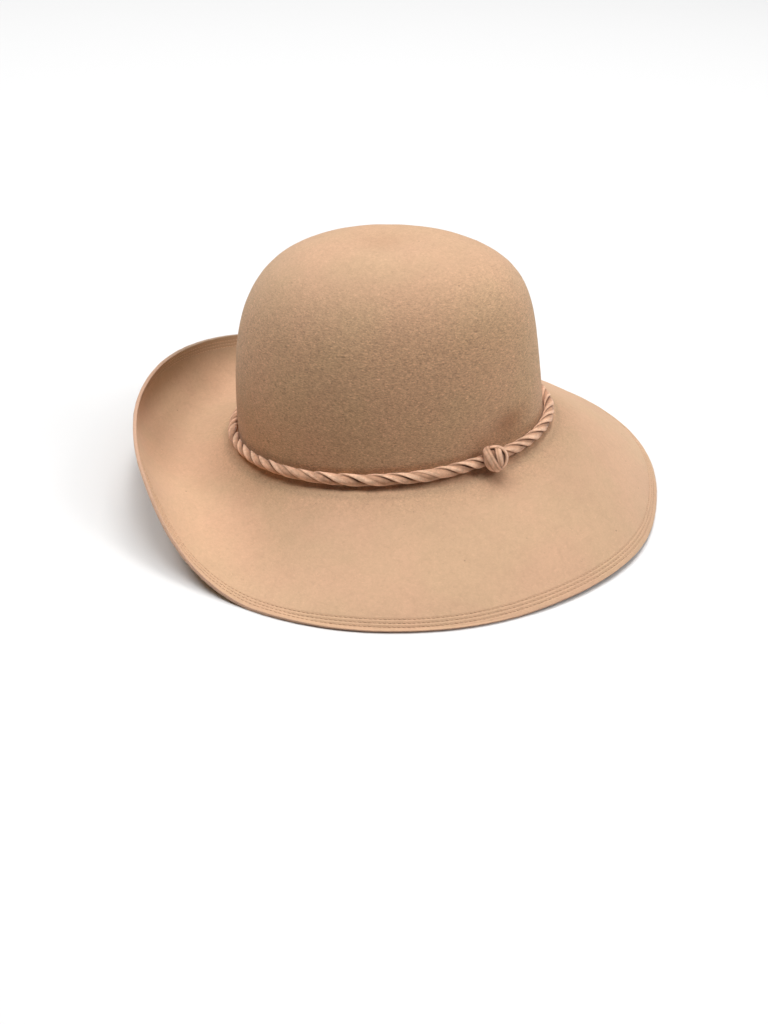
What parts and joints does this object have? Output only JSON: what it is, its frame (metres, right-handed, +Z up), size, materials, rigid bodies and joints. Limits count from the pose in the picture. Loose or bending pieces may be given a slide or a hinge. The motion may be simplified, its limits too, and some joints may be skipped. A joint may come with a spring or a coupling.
{
  "type": "wide-brim hat",
  "caption": "Wide-brim felt hat with an open round crown, a brim rolled up at the back and a twisted strip knotted round the crown's foot.",
  "frame": {"origin": "middle of the hat's bounding box, on the surface that it lies on", "axes": "+Z up from that surface, -Y towards the front of the hat, +X towards the wearer's left"},
  "size_m": [0.3592, 0.3424, 0.1592],
  "materials": {
    "felt": "smooth matte camel felt with a short nap",
    "band": "matte suede-like strip, twisted"
  },
  "bodies": {
    "root": {"felt_body": "felt", "twisted_band": "band", "band_knot": "band"}
  },
  "joints": []
}
